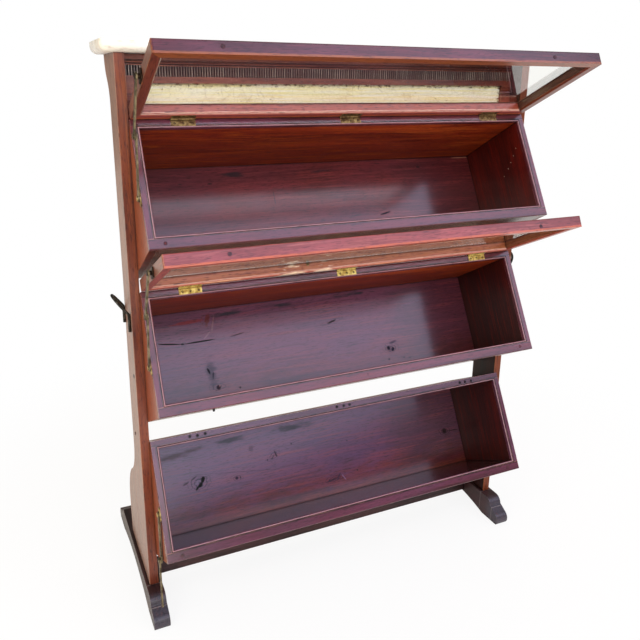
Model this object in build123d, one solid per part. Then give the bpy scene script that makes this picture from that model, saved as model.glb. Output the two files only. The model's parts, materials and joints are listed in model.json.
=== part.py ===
# Shop display cabinet: a mahogany stand with a marble top and three long tilted bins between
# two shaped uprights. Two bins keep their glazed lids, hinged at the top edge and held open by
# folding brass stays. The bottom bin has lost its lid, and its stay hangs down.
# Millimetres. X runs along the bins, Y to the back and Z up. The origin is on the floor, at the
# middle of the width and at the middle of the whole depth with both lids open.

import os
from math import cos, hypot, radians, sin

from build123d import *

# Stand
stand_width = 1000.0  # over the outer faces of the two uprights
stand_height = 1267.0  # floor to the underside of the marble
upright_thick = 20.5
upright_head = 123.0  # depth of an upright under the marble
upright_waist = 80.0  # depth beside the upper two bins
upright_shank = 92.0  # depth beside the bottom bin
upright_tread = 225.0  # depth where it stands on its foot
head_curve = 97.0  # height of the curve from head to waist
head_share = 0.5  # share of that curve taken by its upper arc
waist_end = 781.0  # height where the waist begins to widen
shank_start = 521.0  # height where the shank's own depth is reached
swell_top = 400.0
swell_bottom = 160.0
swell_share = 0.44  # share of the swell taken by its hollow upper arc

# Feet
foot_width = 37.0
foot_height = 63.0
toe_block = 46.0  # the shoulder ends this far in front of the upright
toe_reach = 80.0
heel_block = 345.0
heel_reach = 398.0
shoulder_run = 22.0  # the top is rounded off over this length
ledge_height = 41.0
ledge_cove = 5.0
nose_height = 12.0  # height of the nose's foremost point
nose_crest = 32.0  # height where the nose's curve meets the sloping ledge
nose_run = 14.0
nose_tuck = 5.0  # the sole stops short of the nose
toe_pad = 62.0
heel_pad = 63.0
arch_rise = 24.0

# Stretcher between the feet
stretcher_setback = 78.0
stretcher_thick = 22.0
stretcher_base = 24.0
stretcher_height = 36.0

# Marble slab
marble_thick = 24.0
marble_overhang = 25.0
marble_front = 14.0  # overhang in front of the uprights
marble_back = 150.0  # reach behind the uprights' front edges
marble_corner = 16.0
marble_ovolo = 15.0
marble_arris = 2.0

# Frieze under the marble
frieze_setback = 38.0
frieze_thick = 14.0
backboard_thick = 12.0
frieze_drop = 140.0  # marble underside to the frieze's lower edge, behind the upper bin
cornice_flat = 10.0
cornice_groove = 4.0
cornice_bead = 3.0
cornice_quirk = 2.5
cornice_fillet = 2.0
cornice_relief = 4.0
cornice_step = 1.0
reed_height = 20.0
reed_pitch = 5.5
reed_relief = 2.0
reed_setback = 3.0
reed_crown = 0.5  # flat share of each reed's face
rail_height = 12.5
sign_height = 48.0
sign_stile = 28.0
sign_recess = 8.0

# Iron hooks on the uprights' outer faces
hook_wire = 6.0
hook_front = 13.0
hook_spacing = 67.0
hook_base = 703.0
hook_leg = 38.0
hook_reach = 33.0
hook_lift = 35.0
hook_bend = 9.0
hook_loop = 32.5  # radius at the loop's two shoulders

# Bins
bin_lean = 28.46  # slope of the open face, back from the vertical
bin_base = 215.9  # height of the bottom bin's lower front edge
bin_forward = 134.7  # that edge in front of the uprights
bin_depth = 230.0  # square to the open face
bin_gap = 7.85  # plumb gap between a bin's top corner and the next bin's lowest corner
bin_headroom = 123.35  # plumb from the upper bin's top corner to the marble
end_thick = 15.0
floor_thick = 22.0
top_thick = 17.0
back_thick = 12.0
face_thick = 9.0
face_stile = 17.0
face_top_rail = 18.5
face_bottom_rail = 25.5
bead_width = 5.0
face_arris = 2.0

# Lids
lid_open = {"middle": 86.3, "upper": 87.1}  # degrees from shut
lid_side_gap = 1.0
lid_face_gap = 0.3
lid_thick = 25.7
lid_member = 20.5
lid_bevel = 4.0
lid_arris = 2.5
lid_corner = 4.0
rebate_width = 6.0
rebate_depth = 5.2
glass_thick = 3.0
glass_gap = 0.5

# Butt hinges
hinge_spacing = 375.0
leaf_length = 50.0
leaf_width = 15.5
leaf_thick = 1.6
leaf_gap = 0.2
knuckle_radius = 3.0
knuckle_middle = 16.6
knuckle_gap = 0.3
knuckle_clear = 0.3
hinge_pin_radius = 1.5
pin_clearance = 0.08
pin_tip = 0.8

# Folding stays on the left ends
stay_drop = 157.7  # both outer pivots lie this far down the shut bin from the hinge line
stay_pivot_inset = 9.0  # bin pivot behind the open face
stay_lid_inset = 12.0  # lid pivot from the lid's inner face
stay_bend = 10.0  # each arm off the line between the outer pivots, in degrees
arm_width = 9.0
arm_thick = 3.2
arm_eye = 7.0
arm_gap = 0.3
elbow_length = 30.0
elbow_width = 12.0
stay_pin_radius = 3.0
pin_head_radius = 5.0
pin_head_thick = 1.4
collar_radius = 4.5
plate_thick = 2.0
plate_length = 30.0
plate_width = 15.0
bracket_length = 28.0
bracket_width = 20.0
bracket_thick = 2.5
plate_corner = 4.0

inner_half = stand_width / 2 - upright_thick
upright_centre = stand_width / 2 - upright_thick / 2
lid_half = inner_half - lid_side_gap

# The three bins share the height between the bottom bin's front edge and the headroom
bin_dip = bin_depth * sin(radians(bin_lean))
bin_stack = stand_height - bin_headroom - bin_base
face_rise = (bin_stack - 2 * (bin_dip + bin_gap)) / 3
face_height = face_rise / cos(radians(bin_lean))  # along the slope
bin_pitch = face_rise + bin_dip + bin_gap

knuckle_height = face_height  # the hinge line runs along the top corner of the open face
knuckle_out = lid_face_gap / 2
stay_height = face_height - stay_drop
levels = {"bottom": 0, "middle": 1, "upper": 2}


def block(x0, x1, y0, y1, z0, z1):
    # a box between two corners
    centre = Pos((x0 + x1) / 2, (y0 + y1) / 2, (z0 + z1) / 2)
    return centre * Box(x1 - x0, y1 - y0, z1 - z0)


def side_profile(edges, half_width, centre=0.0):
    # a closed outline in Y and Z, given its thickness along X
    face = Plane.YZ * make_face(edges)
    return Pos(centre, 0, 0) * extrude(face, half_width, both=True)


def rod(x0, x1, radius, y=0.0, z=0.0):
    # a cylinder along X
    return Pos((x0 + x1) / 2, y, z) * Rot(0, 90, 0) * Cylinder(radius, abs(x1 - x0))


def ogee(start, end, share):
    # two arcs that leave and arrive plumb and meet on the straight line between the ends
    knot = (start[0] + share * (end[0] - start[0]), start[1] + share * (end[1] - start[1]))
    return [TangentArc(start, knot, tangent=(0, -1)), TangentArc(end, knot, tangent=(0, 1))]


def upright(side):
    head = (upright_head, stand_height)
    waist = (upright_waist, stand_height - head_curve)
    shank = (upright_shank, swell_top)
    tread = (upright_tread, swell_bottom)
    edges = ogee(head, waist, head_share)
    edges += [Polyline(waist, (upright_waist, waist_end), (upright_shank, shank_start), shank)]
    edges += ogee(shank, tread, swell_share)
    foot_top = (upright_tread, foot_height)
    edges += [Polyline(tread, foot_top, (0, foot_height), (0, stand_height), head)]
    return side_profile(edges, upright_thick / 2, side * upright_centre)


def scroll(reach, block_end, way):
    # one end of a foot from the floor up: a round nose, a sloping ledge, a cove and a soft shoulder
    tip = (way * reach, nose_height)
    sole = (way * (reach - nose_tuck), 0)
    nose_top = (way * (reach - nose_run), nose_crest)
    cove_foot = (way * (block_end + ledge_cove), ledge_height)
    cove_top = (way * block_end, ledge_height + ledge_cove)
    flat_end = (way * (block_end - shoulder_run), foot_height)
    return [
        TangentArc(tip, sole, tangent=(0, -1)),
        TangentArc(tip, nose_top, tangent=(0, 1)),
        Line(nose_top, cove_foot),
        RadiusArc(cove_foot, cove_top, way * ledge_cove),
        TangentArc(flat_end, cove_top, tangent=(way, 0)),
    ]


def foot(side):
    pad_front = -(toe_reach - nose_tuck) + toe_pad
    pad_back = heel_reach - nose_tuck - heel_pad
    edges = scroll(toe_reach, toe_block, -1) + scroll(heel_reach, heel_block, 1)
    edges += [
        Line((shoulder_run - toe_block, foot_height), (heel_block - shoulder_run, foot_height)),
        Line((-(toe_reach - nose_tuck), 0), (pad_front, 0)),
        SagittaArc((pad_front, 0), (pad_back, 0), arch_rise),
        Line((pad_back, 0), (heel_reach - nose_tuck, 0)),
    ]
    return side_profile(edges, foot_width / 2, side * upright_centre)


def bottom_stretcher():
    half = upright_centre - foot_width / 2
    top = stretcher_base + stretcher_height
    back = stretcher_setback + stretcher_thick
    return block(-half, half, stretcher_setback, back, stretcher_base, top)


def marble_top():
    half = stand_width / 2 + marble_overhang
    slab = block(-half, half, -marble_front, marble_back, stand_height, stand_height + marble_thick)
    slab = fillet(slab.edges().filter_by(Axis.Z), marble_corner)
    slab = fillet(slab.faces().sort_by(Axis.Z)[0].edges(), marble_ovolo)
    return fillet(slab.faces().sort_by(Axis.Z)[-1].edges(), marble_arris)


def cornice_moulding():
    front = frieze_setback
    sunk = front + cornice_relief
    back = front + frieze_thick
    flat_end = stand_height - cornice_flat
    bead_top = flat_end - cornice_groove
    bead_end = bead_top - cornice_bead
    bead_root = sunk - cornice_bead / 2
    fillet_top = bead_end - cornice_quirk
    base = fillet_top - cornice_fillet
    edges = [
        Polyline((back, base), (back, stand_height), (front, stand_height), (front, flat_end),
                 (sunk, flat_end), (sunk, bead_top), (bead_root, bead_top)),
        ThreePointArc((bead_root, bead_top), (sunk - cornice_bead, (bead_top + bead_end) / 2),
                      (bead_root, bead_end)),
        Polyline((bead_root, bead_end), (sunk, bead_end), (sunk, fillet_top),
                 (front + cornice_step, fillet_top), (front + cornice_step, base), (back, base)),
    ]
    return side_profile(edges, inner_half)


def reeded_strip():
    # flat-crowned reeds side by side along the whole frieze
    count = round(2 * inner_half / reed_pitch)
    step = 2 * inner_half / count
    crest = frieze_setback + reed_setback
    root = crest + reed_relief
    points = [(inner_half, frieze_setback + frieze_thick), (-inner_half, frieze_setback + frieze_thick)]
    for number in range(count):
        start = -inner_half + number * step
        points += [
            (start, root),
            (start + step * (1 - reed_crown) / 2, crest),
            (start + step * (1 + reed_crown) / 2, crest),
        ]
    points += [(inner_half, root)]
    face = make_face(Polyline(*points, close=True))
    return Pos(0, 0, reeds_base()) * extrude(face, reed_height)


def reeds_base():
    cornice = cornice_flat + cornice_groove + cornice_bead + cornice_quirk + cornice_fillet
    return stand_height - cornice - reed_height


def frieze_rail():
    base = reeds_base() - rail_height
    back = frieze_setback + frieze_thick
    return block(-inner_half, inner_half, frieze_setback, back, base, reeds_base())


def sign_frame():
    top = reeds_base() - rail_height
    base = stand_height - frieze_drop
    back = frieze_setback + frieze_thick
    open_half = inner_half - sign_stile
    left = block(-inner_half, -open_half, frieze_setback, back, base, top)
    right = block(open_half, inner_half, frieze_setback, back, base, top)
    rail = block(-open_half, open_half, frieze_setback, back, base, top - sign_height)
    return Compound(children=[left, right, rail])


def sign_panel():
    top = reeds_base() - rail_height
    half = inner_half - sign_stile
    front = frieze_setback + sign_recess
    return block(-half, half, front, frieze_setback + frieze_thick, top - sign_height, top)


def frieze_backboard():
    front = frieze_setback + frieze_thick
    base = stand_height - frieze_drop
    return block(-inner_half, inner_half, front, front + backboard_thick, base, stand_height)


def side_hook(side):
    # one bent wire: two plumb legs against the upright, and a loop leaning out between them
    near = stand_width / 2 + hook_wire / 2
    far = stand_width / 2 + hook_reach - hook_wire / 2
    knee = hook_base + hook_leg
    back = hook_front + hook_spacing
    route = [
        (side * near, hook_front, hook_base),
        (side * near, hook_front, knee),
        (side * far, hook_front, knee + hook_lift),
        (side * far, back, knee + hook_lift),
        (side * near, back, knee),
        (side * near, back, hook_base),
    ]
    path = FilletPolyline(*route, radius=[hook_bend, hook_loop, hook_loop, hook_bend])
    section = Plane(origin=route[0], z_dir=(0, 0, 1)) * Circle(hook_wire / 2)
    return sweep(section, path=path)


def slope(level):
    # a bin's own frame: X along it, Y up its open face, Z out of it
    out = (0, -cos(radians(bin_lean)), sin(radians(bin_lean)))
    corner = (0, -bin_forward, bin_base + levels[level] * bin_pitch)
    return Plane(origin=corner, x_dir=(1, 0, 0), z_dir=out).location


def opened(level, height=knuckle_height, out=knuckle_out):
    # carries what is drawn on a shut lid to its open place
    turn = Pos(0, height, out) * Rot(-lid_open[level], 0, 0) * Pos(0, -height, -out)
    return slope(level) * turn


def mitred(bar, length, width, low, high):
    # cuts both ends of a bar at 45 degrees, the short side towards +Y
    half = length / 2
    outline = Polyline((-half, 0), (half, 0), (half - width, width), (-half + width, width), close=True)
    return bar & Pos(0, 0, low) * extrude(make_face(outline), high - low)


def bead_bar(length):
    # a half-round bead that faces +Z, with the opening on its +Y side
    radius = bead_width / 2
    edges = [
        Polyline((0, -radius), (0, -face_thick), (bead_width, -face_thick), (bead_width, -radius)),
        ThreePointArc((bead_width, -radius), (radius, 0), (0, -radius)),
    ]
    return mitred(side_profile(edges, length / 2), length, bead_width, -face_thick, 0)


def bin_rails():
    # the face frame's top and bottom members, flats with a bead along the opening
    half = inner_half
    bead_length = 2 * (half - (face_stile - bead_width))
    top_flat = face_height - (face_top_rail - bead_width)
    bottom_flat = face_bottom_rail - bead_width
    top = block(-half, half, top_flat, face_height, -face_thick, 0)
    top += Pos(0, top_flat, 0) * Rot(0, 0, 180) * bead_bar(bead_length)
    bottom = block(-half, half, 0, bottom_flat, -face_thick, 0)
    front_edges = bottom.edges().filter_by(Axis.X).group_by(Axis.Z)[-1]
    bottom = fillet(front_edges.sort_by(Axis.Y)[0], face_arris)
    bottom += Pos(0, bottom_flat, 0) * bead_bar(bead_length)
    return top, bottom


def bin_stiles():
    flat = face_stile - bead_width
    low = face_bottom_rail - bead_width
    high = face_height - (face_top_rail - bead_width)
    middle = (low + high) / 2
    left = block(-inner_half, -inner_half + flat, low, high, -face_thick, 0)
    left += Pos(-inner_half + flat, middle, 0) * Rot(0, 0, -90) * bead_bar(high - low)
    return Compound(children=[left, mirror(left, about=Plane.YZ)])


def bin_boards():
    # the trough behind the face frame: top, floor and back held between two ends
    half = inner_half - end_thick
    front = -face_thick
    end = block(half, inner_half, 0, face_height, -bin_depth, front)
    roof = face_height - top_thick
    return {
        "end_left": mirror(end, about=Plane.YZ),
        "end_right": end,
        "top": block(-half, half, roof, face_height, -bin_depth, front),
        "floor": block(-half, half, 0, floor_thick, -bin_depth, front),
        "back": block(-half, half, floor_thick, roof, -bin_depth, -bin_depth + back_thick),
    }


def lid_bar(length):
    # a lid member: outer edge at Y 0, inner face at Z 0, glass rebate on the far inner corner
    edges = [
        Polyline((0, lid_thick - lid_arris), (0, 0), (lid_member - lid_bevel, 0),
                 (lid_member, lid_bevel), (lid_member, lid_thick - rebate_depth),
                 (lid_member - rebate_width, lid_thick - rebate_depth),
                 (lid_member - rebate_width, lid_thick), (lid_arris, lid_thick)),
        RadiusArc((lid_arris, lid_thick), (0, lid_thick - lid_arris), -lid_arris),
    ]
    return mitred(side_profile(edges, length / 2), length, lid_member, 0, lid_thick)


def lid_frame():
    # four mitred bars, with the frame's corners rounded off through both bars
    width = 2 * lid_half
    outline = Pos(0, face_height / 2) * RectangleRounded(width, face_height, lid_corner)
    body = Pos(0, 0, lid_face_gap) * extrude(outline, lid_thick)
    rail = Pos(0, 0, lid_face_gap) * lid_bar(width)
    stile = Pos(-lid_half, face_height / 2, lid_face_gap) * Rot(0, 0, -90) * lid_bar(face_height)
    left = body & stile
    return {
        "free_rail": body & rail,
        "hinge_rail": body & Pos(0, face_height, 0) * Rot(0, 0, 180) * rail,
        "stiles": Compound(children=[left, mirror(left, about=Plane.YZ)]),
    }


def lid_glass():
    edge = lid_member - rebate_width + glass_gap
    half = lid_half - edge
    seat = lid_face_gap + lid_thick - rebate_depth
    return block(-half, half, edge, face_height - edge, seat, seat + glass_thick)


def hinge_row(shape):
    return [Pos(place, 0, 0) * shape for place in (-hinge_spacing, 0, hinge_spacing)]


def barrel(x0, x1, radius=knuckle_radius):
    return rod(x0, x1, radius, knuckle_height, knuckle_out)


def leaf_recess(low, high):
    # what is cut from the wood so that a leaf lies flush and the knuckles turn free
    half = leaf_length / 2 + leaf_gap
    reach = half + pin_tip
    bed = block(-half, half, face_height - leaf_width - leaf_gap, face_height, low, high)
    return hinge_row(bed + barrel(-reach, reach, knuckle_radius + knuckle_clear))


def bin_leaf():
    # the fixed leaf with its two outer knuckles
    half = leaf_length / 2
    inner = knuckle_middle / 2
    leaf = block(-half, half, face_height - leaf_width, face_height, -leaf_thick, 0)
    leaf -= barrel(-inner, inner, knuckle_radius + knuckle_clear)
    leaf += barrel(-half, -inner) + barrel(inner, half)
    return leaf - barrel(-half, half, hinge_pin_radius)


def lid_leaf():
    # the moving leaf with its middle knuckle
    half = leaf_length / 2
    outer = knuckle_middle / 2
    inner = outer - knuckle_gap
    leaf = block(-half, half, face_height - leaf_width, face_height, lid_face_gap, lid_face_gap + leaf_thick)
    for x0, x1 in ((-half, -outer), (outer, half)):
        leaf -= barrel(x0 - leaf_gap, x1 + leaf_gap, knuckle_radius + knuckle_clear)
    return leaf + barrel(-inner, inner) - barrel(-half, half, hinge_pin_radius + pin_clearance)


def hinge_pin():
    half = leaf_length / 2 + pin_tip
    return rod(-half, half, hinge_pin_radius, knuckle_height, knuckle_out)


def swing(point, angle):
    # a point of the shut lid after the lid has opened by an angle
    du = point[0] - knuckle_height
    dn = point[1] - knuckle_out
    c, s = cos(radians(angle)), sin(radians(angle))
    return (knuckle_height + du * c + dn * s, knuckle_out - du * s + dn * c)


def stay_points(angle):
    # bin pivot, elbow and lid pivot in the bin's frame, with the lid open by an angle
    pivot = (stay_height, -stay_pivot_inset)
    pin = swing((stay_height, lid_face_gap + stay_lid_inset), angle)
    span = hypot(pin[0] - pivot[0], pin[1] - pivot[1])
    along = ((pin[0] - pivot[0]) / span, (pin[1] - pivot[1]) / span)
    sag = span / 2 * sin(radians(stay_bend)) / cos(radians(stay_bend))
    elbow = (pivot[0] + along[0] * span / 2 + along[1] * sag,
             pivot[1] + along[1] * span / 2 - along[0] * sag)
    return pivot, elbow, pin


def layer(number):
    # inner and outer X of the stay's layers: 0 lies on the bin's end, 1 and 2 are the arms
    start = -inner_half - plate_thick - arm_gap
    if number == 0:
        return -inner_half, -inner_half - plate_thick
    inner = start - (number - 1) * (arm_thick + arm_gap)
    return inner, inner - arm_thick


def arm(pivot, elbow, number, elbow_bored=False):
    # a flat arm from its outer pivot to the elbow, with round eyes and a broader stretch at the elbow
    length = hypot(elbow[0] - pivot[0], elbow[1] - pivot[1])
    inner, outer = layer(number)
    hole = Circle(stay_pin_radius + pin_clearance)
    outline = Rectangle(length, arm_width) + Pos(-length / 2, 0) * Circle(arm_eye)
    outline += Pos(length / 2, 0) * Circle(arm_eye)
    outline += Pos(length / 2 - elbow_length / 4, 0) * Rectangle(elbow_length / 2, elbow_width)
    outline -= Pos(-length / 2, 0) * hole
    if elbow_bored:
        outline -= Pos(length / 2, 0) * hole
    along = ((elbow[0] - pivot[0]) / length, (elbow[1] - pivot[1]) / length)
    middle = ((pivot[0] + elbow[0]) / 2, (pivot[1] + elbow[1]) / 2)
    plane = Plane(origin=(outer, *middle), x_dir=(0, *along), z_dir=(1, 0, 0))
    return plane.location * extrude(outline, abs(inner - outer))


def rivet_head(at, x):
    # a low round head that stands out of an arm at X
    return rod(x, x - pin_head_thick, pin_head_radius, *at)


def stay_pivot(at):
    # the plate on a bin's end, with the pin that carries the lower arm
    inner, outer = layer(0)
    plate = RectangleRounded(plate_width, plate_length, plate_corner)
    seat = Plane(origin=(outer, *at), x_dir=(0, 0, 1), z_dir=(1, 0, 0)).location
    piece = seat * extrude(plate, abs(inner - outer))
    cap = layer(1)[1] - arm_gap
    piece += rod(inner, cap, stay_pin_radius, *at)
    return piece + rivet_head(at, cap)


def lid_bracket(at):
    # the plate on the lid's end, with a collared pin for the upper arm
    root = -lid_half
    plate = RectangleRounded(bracket_width, bracket_length, plate_corner)
    seat = Plane(origin=(root - bracket_thick, *at), x_dir=(0, 0, 1), z_dir=(1, 0, 0)).location
    piece = seat * extrude(plate, bracket_thick)
    shoulder = layer(2)[0] + arm_gap
    piece += rod(root, shoulder, collar_radius, *at)
    cap = layer(2)[1] - arm_gap
    piece += rod(root, cap, stay_pin_radius, *at)
    return piece + rivet_head(at, cap)


def working_stay(level):
    # the two arms of a stay that holds its lid open, in the bin's frame
    pivot, elbow, pin = stay_points(lid_open[level])
    lower = arm(pivot, elbow, 1)
    upper = arm(pin, elbow, 2) + rivet_head(elbow, layer(2)[1])
    return slope(level) * lower, slope(level) * upper


def hanging_stay():
    # the bottom stay without its lid: both arms hang plumb, the upper one on the lower one's pin
    pivot, elbow, pin = stay_points(lid_open["upper"])
    length = hypot(elbow[0] - pivot[0], elbow[1] - pivot[1])
    top = slope("bottom") * Pos(0, *pivot)
    y, z = top.position.Y, top.position.Z
    knee = (y, z - length)
    cap = layer(2)[1] - arm_gap
    lower = arm((y, z), knee, 1) + rod(layer(1)[0], cap, stay_pin_radius, *knee)
    lower += rivet_head(knee, cap)
    return lower, arm((y, z - 2 * length), knee, 2, elbow_bored=True)


def depth_middle():
    # half way between the open lids' front edge and the heels
    reach = []
    for level in lid_open:
        for out in (lid_face_gap, lid_face_gap + lid_thick):
            reach.append((slope(level) * Pos(0, *swing((0, out), lid_open[level]))).position.Y)
    return (min(reach) + heel_reach) / 2


pieces = {
    "upright_left": upright(-1),
    "upright_right": upright(1),
    "foot_left": foot(-1),
    "foot_right": foot(1),
    "bottom_stretcher": bottom_stretcher(),
    "marble_top": marble_top(),
    "cornice_moulding": cornice_moulding(),
    "reeded_strip": reeded_strip(),
    "frieze_rail": frieze_rail(),
    "frieze_backboard": frieze_backboard(),
    "sign_frame": sign_frame(),
    "sign_panel": sign_panel(),
    "side_hooks": Compound(children=[side_hook(-1), side_hook(1)]),
}

top_rail, bottom_rail = bin_rails()
stiles = bin_stiles()
boards = bin_boards()
bin_mortises = leaf_recess(-leaf_thick, 0)
lid_mortises = leaf_recess(lid_face_gap, lid_face_gap + leaf_thick)
pivot_plates = []
hinge_pins = []
for level in levels:
    place = slope(level)
    hinged = level in lid_open
    face_rail = top_rail - bin_mortises if hinged else top_rail
    pieces[f"{level}_bin_top_rail"] = place * face_rail
    pieces[f"{level}_bin_bottom_rail"] = place * bottom_rail
    pieces[f"{level}_bin_stiles"] = place * stiles
    for name, board in boards.items():
        pieces[f"{level}_bin_{name}"] = place * board
    pivot_plates.append(place * stay_pivot((stay_height, -stay_pivot_inset)))

for level in lid_open:
    swung = opened(level)
    for name, member in lid_frame().items():
        if name == "hinge_rail":
            member = member - lid_mortises
        pieces[f"{level}_lid_{name}"] = swung * member
    pieces[f"{level}_lid_glass"] = swung * lid_glass()
    pieces[f"{level}_hinge_bin_leaves"] = slope(level) * Compound(children=hinge_row(bin_leaf()))
    pieces[f"{level}_hinge_lid_leaves"] = swung * Compound(children=hinge_row(lid_leaf()))
    hinge_pins += [slope(level) * pin for pin in hinge_row(hinge_pin())]
    lower_arm, upper_arm = working_stay(level)
    pieces[f"{level}_stay_lower_arm"] = lower_arm
    pieces[f"{level}_stay_upper_arm"] = upper_arm
    pieces[f"{level}_stay_lid_bracket"] = swung * lid_bracket((stay_height, lid_face_gap + stay_lid_inset))

pieces["bottom_stay_lower_arm"], pieces["bottom_stay_upper_arm"] = hanging_stay()
pieces["stay_pivots"] = Compound(children=pivot_plates)
pieces["hinge_pins"] = Compound(children=hinge_pins)

os.makedirs("parts", exist_ok=True)
centred = Pos(0, -depth_middle(), 0)
for name, piece in pieces.items():
    export_step(centred * piece, f"parts/{name}.step")
print(len(pieces), "pieces, depth middle at", round(depth_middle(), 2))
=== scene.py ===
import json
import math
import random

import bmesh
import bpy
from mathutils import Euler, Matrix, Vector


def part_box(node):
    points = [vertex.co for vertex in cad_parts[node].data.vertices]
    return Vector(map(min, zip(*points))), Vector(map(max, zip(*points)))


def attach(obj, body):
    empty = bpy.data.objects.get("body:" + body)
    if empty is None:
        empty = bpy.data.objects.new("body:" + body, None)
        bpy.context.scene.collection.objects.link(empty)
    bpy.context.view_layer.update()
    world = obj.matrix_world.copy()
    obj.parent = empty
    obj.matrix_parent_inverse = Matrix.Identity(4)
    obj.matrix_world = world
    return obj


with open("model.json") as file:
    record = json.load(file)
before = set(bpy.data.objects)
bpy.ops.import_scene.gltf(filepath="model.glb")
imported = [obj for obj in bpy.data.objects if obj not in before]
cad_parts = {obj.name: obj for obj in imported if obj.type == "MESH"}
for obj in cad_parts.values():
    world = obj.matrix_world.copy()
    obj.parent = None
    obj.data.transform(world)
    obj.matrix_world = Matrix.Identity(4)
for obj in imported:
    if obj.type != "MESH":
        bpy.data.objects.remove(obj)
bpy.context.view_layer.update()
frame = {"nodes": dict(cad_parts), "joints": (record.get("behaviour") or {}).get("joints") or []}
mm = 0.001
random.seed(12)
print("frame loaded:", len(frame["nodes"]), "nodes")


# small helpers

def hexColour(text):
    # an sRGB hex value as linear red, green, blue and alpha
    shares = [int(text[i:i + 2], 16) / 255 for i in (1, 3, 5)]
    return [s / 12.92 if s <= 0.04045 else ((s + 0.055) / 1.055) ** 2.4 for s in shares] + [1]


def perMm(sizes):
    # the scale at which a pattern's unit is as long as these mm
    return [1000 / size for size in sizes]


soft = {"interpolation_type": "SMOOTHSTEP"}  # from one value to another with soft shoulders
ofColours = {"data_type": "RGBA", "out": 2}


def addNode(tree, kind, inputs=(), out=0, **settings):
    # adds a node with its settings and links, and hands on one of its outputs
    node = tree.nodes.new("ShaderNode" + kind)
    for key, value in settings.items():
        setattr(node, key, value)
    for socket, source in inputs.items() if isinstance(inputs, dict) else enumerate(inputs):
        if isinstance(source, bpy.types.NodeSocket):
            tree.links.new(source, node.inputs[socket])
        elif isinstance(source, str):
            node.inputs[socket].default_value = hexColour(source)
        else:
            node.inputs[socket].default_value = source
    return node.outputs[out] if len(node.outputs) else node


def startMaterial(name):
    material = bpy.data.materials.new(name)
    material.use_nodes = True
    material.node_tree.nodes.clear()
    return material, material.node_tree


def mottle(tree, along, size, detail, roughness=0.5, distortion=0.0):
    # a cloudy pattern whose patches are as large as these mm
    spread = addNode(tree, "Mapping", {"Vector": along, "Scale": perMm(size)})
    return addNode(tree, "TexNoise", {"Vector": spread, "Scale": 1.0, "Detail": detail,
                                      "Roughness": roughness, "Distortion": distortion})


def tintOver(tree, under, over, pattern, steps):
    # lays one colour over another where the pattern passes from the first step to the second
    share = addNode(tree, "MapRange", (pattern, *steps), **soft)
    return addNode(tree, "Mix", {0: share, 6: under, 7: over}, **ofColours)


def clearSelection():
    bpy.ops.object.select_all(action="DESELECT")


def chooseFaces(test):
    # in edit mode, selects the faces that pass a test and no others
    mesh = bpy.context.object.data
    shape = bmesh.from_edit_mesh(mesh)
    for face in shape.faces:
        face.select_set(False)
    for face in shape.faces:
        if test(face):
            face.select_set(True)
    bmesh.update_edit_mesh(mesh)


def chooseEdges(test):
    mesh = bpy.context.object.data
    shape = bmesh.from_edit_mesh(mesh)
    for edge in shape.edges:
        edge.select_set(False)
    for edge in shape.edges:
        if test(edge):
            edge.select_set(True)
    bmesh.update_edit_mesh(mesh)


def sendOut(model, places, name, body, sources):
    # copies of a model carried to their places, joined as one piece of a body
    copies = []
    for place in places:
        twin = model.copy()
        twin.data = model.data.copy()
        twin.data.transform(place)
        bpy.context.collection.objects.link(twin)
        copies.append(twin)
    clearSelection()
    for twin in copies:
        twin.select_set(True)
    bpy.context.view_layer.objects.active = copies[0]
    if len(copies) > 1:
        bpy.ops.object.join()
    piece = bpy.context.object
    piece.name = name
    piece.data.materials.clear()
    for source in sources:
        piece.data.materials.append(source)
    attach(piece, body)
    return piece


# the bins and lids, read from the frame

binLean = math.radians(28.46)
faceThick = 9 * mm
levels = ("bottom", "middle", "upper")
lidLevels = ("middle", "upper")
joints = {joint["name"]: joint for joint in frame["joints"]}
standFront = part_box("upright_left")[0].y


def binSize(level):
    # length up the open face and depth behind the face frame
    low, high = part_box(level + "_bin_end_left")
    deep, tall = high.y - low.y, high.z - low.z
    c, s = math.cos(binLean), math.sin(binLean)
    return (tall * c - deep * s) / (c * c - s * s), (deep * c - tall * s) / (c * c - s * s)


def binPlace(level):
    # from a bin's own axes, X along it, Y up the open face and Z out of it
    low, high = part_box(level + "_bin_end_left")
    c, s = math.cos(binLean), math.sin(binLean)
    faceHeight = binSize(level)[0]
    y = low.y - faceThick * c
    z = high.z - faceHeight * c + faceThick * s
    return Matrix(((1, 0, 0, 0), (0, s, -c, y), (0, c, s, z), (0, 0, 0, 1)))


def lidPlace(level):
    # the same axes for the shut lid, carried to its open place
    hinge = joints[level + "_lid_hinge"]
    pivot = Matrix.Translation(Vector(hinge["pos_m"]))
    opened = Matrix.Rotation(-math.radians(hinge["range_deg"][1]), 4, "X")
    return pivot @ opened @ pivot.inverted() @ binPlace(level)


def spot(x, y, z):
    return Matrix.Translation((x * mm, y * mm, z * mm))


faceUp = binSize("upper")[0] / mm  # mm up the open face
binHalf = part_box("upper_bin_end_right")[1].x / mm
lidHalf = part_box("upper_lid_stiles")[1].x / mm


# French polished mahogany: red-brown wood under clear shellac, which mirrors the light softly

grain = {
    "figure": (420, 34, 34),  # mm along and across the broad light and dark figure
    "streak": (150, 4.5, 4.5),
    "pore": (16, 1.6, 1.6),  # real pores are a third of this and would not show
    "cloud": (210, 210, 210), "cloudFrom": (3.1, 1.7, 0.4),
    "check": (60, 2.6, 2.6), "checkDark": "#1a0808",
    "sway": (500, 120, 120), "swayBy": 0.03,  # how far the grain wanders from straight
    "ragged": (45, 11, 11),
    "wearRadius": 2.6,
    "crevice": 5, "dirt": "#140806",
    "film": 1.6,  # IOR of the built-up polish
}

alongX = (0, 0, 0)
alongY = (0, 0, math.radians(-90))
alongZ = (0, math.radians(90), 0)


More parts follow.
